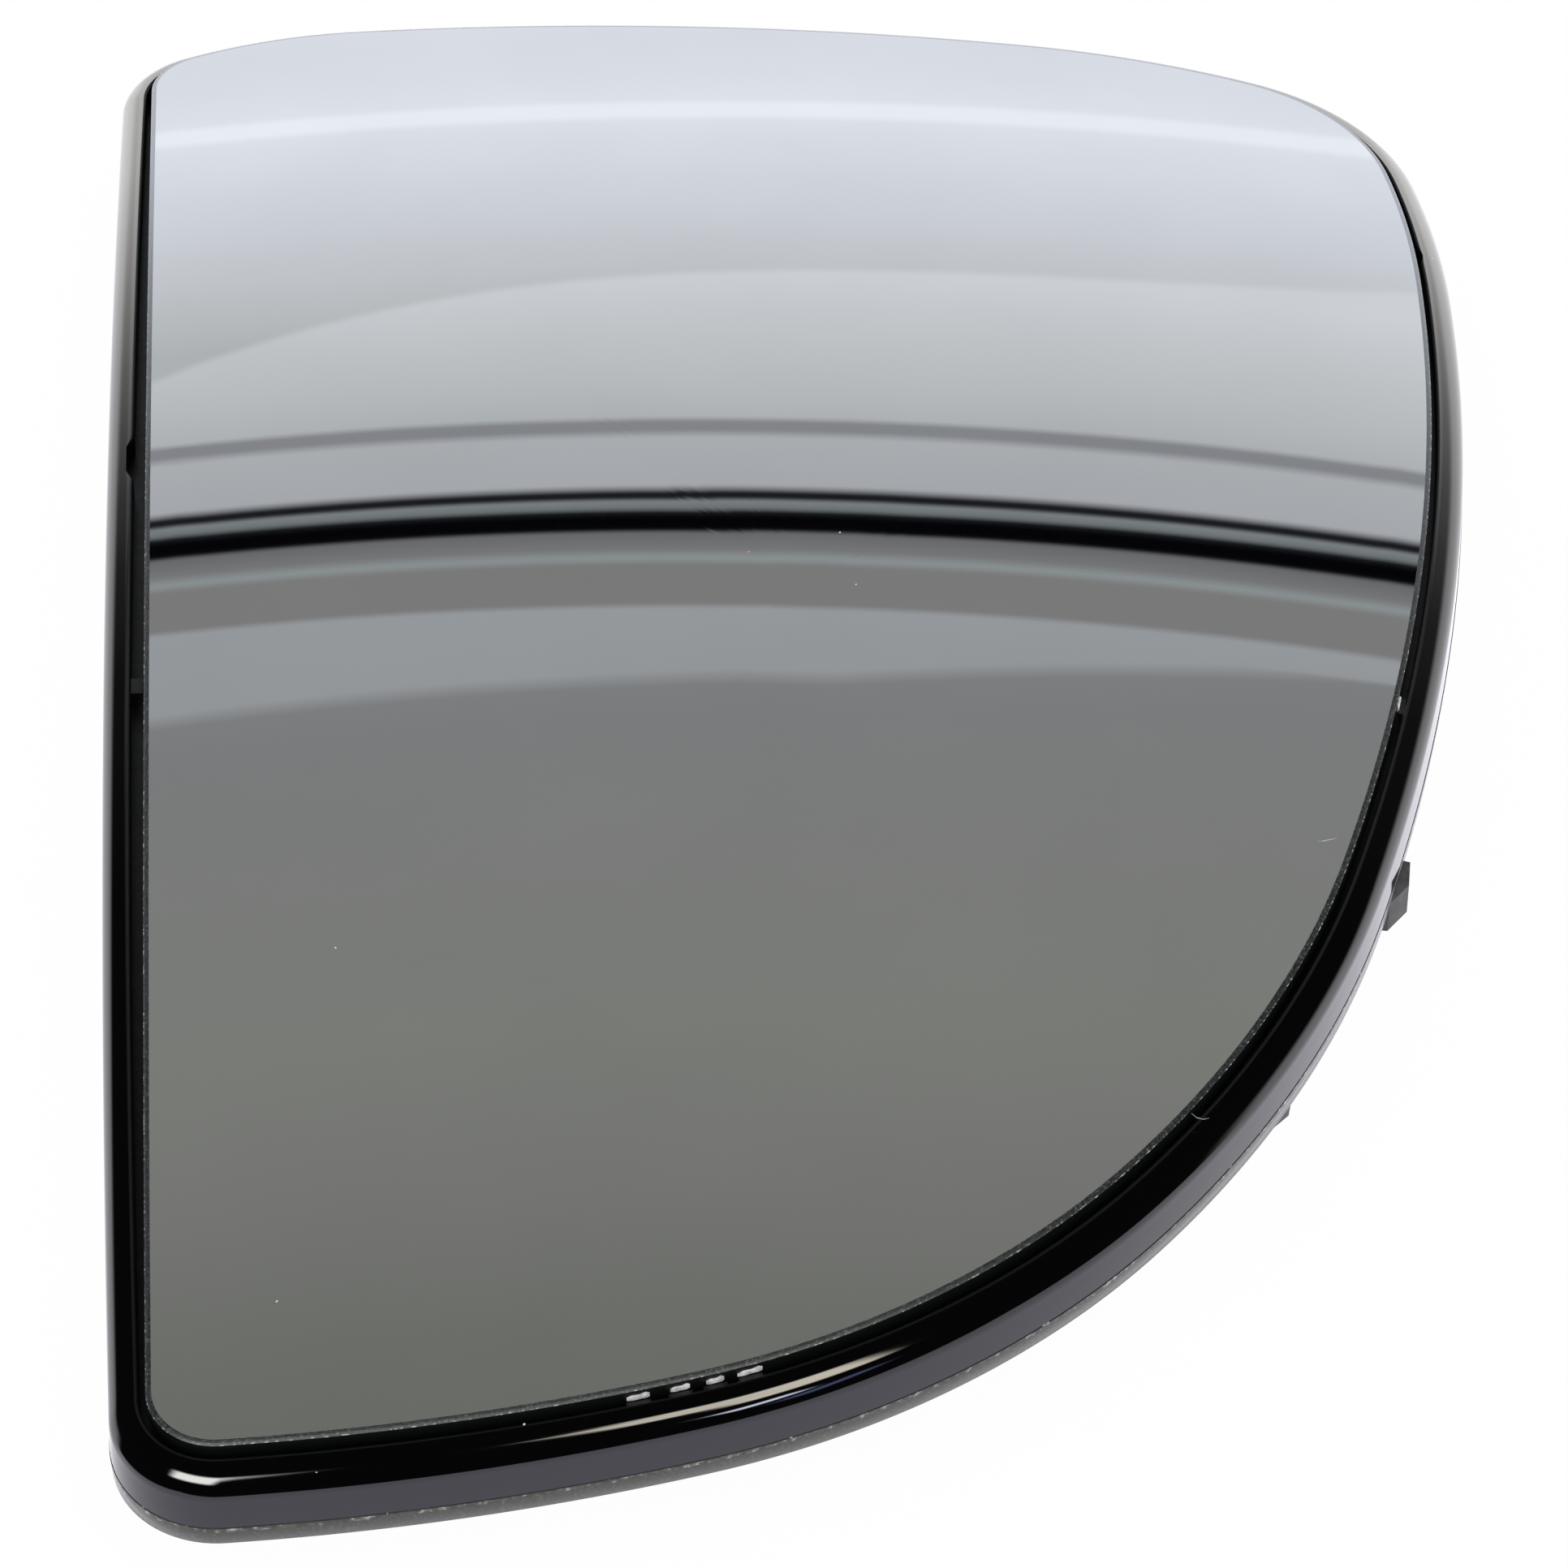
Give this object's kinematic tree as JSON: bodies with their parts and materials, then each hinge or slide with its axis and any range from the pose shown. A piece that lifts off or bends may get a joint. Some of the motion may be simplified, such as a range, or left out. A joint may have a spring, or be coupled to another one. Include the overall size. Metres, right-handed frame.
{
  "type": "car door mirror glass",
  "caption": "Convex mirror glass with a ground edge, bonded in a black moulded holder whose back ring clips over a door mirror's actuator.",
  "frame": {"origin": "centre of the actuator ring's seat, which is the lowest point of the part and the middle of its outline", "axes": "+X across the glass towards its full side, +Y along the glass towards its wide end, +Z out of the mirror face"},
  "size_m": [0.1285, 0.1961, 0.017],
  "materials": {
    "mirror_face": "polished",
    "foam": "matte",
    "black_plastic": "gloss"
  },
  "bodies": {
    "root": {"mirror_glass": "mirror_face", "adhesive_pad": "foam", "holder": "black_plastic"}
  },
  "joints": []
}
